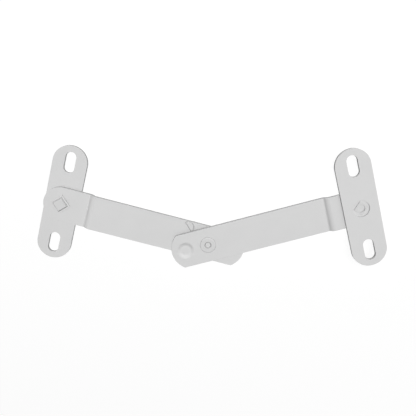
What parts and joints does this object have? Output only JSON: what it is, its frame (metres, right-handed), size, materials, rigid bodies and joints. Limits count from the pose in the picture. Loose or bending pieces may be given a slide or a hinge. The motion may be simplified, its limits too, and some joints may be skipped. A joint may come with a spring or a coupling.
{
  "type": "safety hinge",
  "caption": "Flat folding safety hinge: slotted plates pivot on the ends of joggled steel arms that cross at a riveted centre, and a stop holds it just past straight.",
  "frame": {"origin": "middle between the frame plate's slots, on its mounting face and on its pivot axis", "axes": "+X from the frame plate's pivot to the centre pivot, +Y along the frame plate, +Z out of the frame plate towards the sash plate; every pivot axis is parallel to Z"},
  "size_m": [0.1778, 0.0991, 0.0144],
  "materials": {
    "plates": "satin zinc plate on stamped sheet",
    "arms": "satin zinc plate on pressed sheet",
    "rivets": "turned and riveted, zinc plated",
    "washers": "stamped, zinc plated"
  },
  "bodies": {
    "frame_plate_body": {"frame_plate": "plates", "frame_pivot_stud": "rivets", "frame_pivot_washer": "washers"},
    "frame_arm_body": {"frame_arm": "arms", "stop_rivet": "rivets", "centre_rivet": "rivets", "centre_spacer": "washers"},
    "sash_arm_body": {"sash_arm": "arms"},
    "sash_plate_body": {"sash_plate": "plates", "sash_pivot_stud": "rivets", "sash_pivot_washer": "washers"}
  },
  "joints": [
    {"name": "frame_pivot", "type": "hinge", "parent": "frame_plate_body", "child": "frame_arm_body", "pos_m": [0, 0, 0], "axis": [0, 0, 1], "continuous": true},
    {"name": "centre_pivot", "type": "hinge", "parent": "frame_arm_body", "child": "sash_arm_body", "pos_m": [0.0797, 0, 0], "axis": [0, 0, 1], "range_deg": [-34, 150]},
    {"name": "sash_pivot", "type": "hinge", "parent": "sash_arm_body", "child": "sash_plate_body", "pos_m": [0.14872, 0.03985, 0], "axis": [0, 0, 1], "continuous": true}
  ]
}
